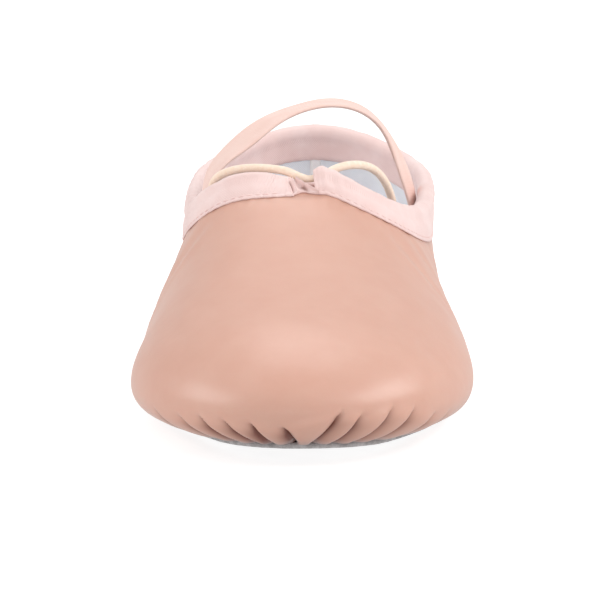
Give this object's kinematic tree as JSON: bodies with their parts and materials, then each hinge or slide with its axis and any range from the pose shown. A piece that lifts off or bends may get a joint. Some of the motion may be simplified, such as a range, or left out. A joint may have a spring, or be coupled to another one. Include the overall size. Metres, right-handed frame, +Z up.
{
  "type": "ballet shoe",
  "caption": "Soft leather ballet slipper, open at the throat and collar, with a drawstring casing, pleated toe, elastic instep strap and a thin full sole.",
  "frame": {"origin": "on the floor, under the middle of the shoe's length and width", "axes": "+Y runs from toe to heel, +Z is up, and +X is at the viewer's right in the picture, which faces the toe"},
  "size_m": [0.0804, 0.2319, 0.0639],
  "materials": {
    "leather": "soft peach-pink full-grain leather with a low sheen",
    "cotton": "pale pink cotton tape, matte",
    "elastic": "flat woven elastic, pink, matte",
    "cord": "round covered elastic, cream, matte",
    "suede": "grey split suede, matte",
    "lining": "grey-white cotton lining, matte"
  },
  "bodies": {
    "root": {"outsole": "suede", "insole": "lining", "upper": "leather", "collar_casing": "cotton", "drawstring": "cord", "drawstring_left": "cord", "drawstring_right": "cord", "instep_strap": "elastic"}
  },
  "joints": []
}
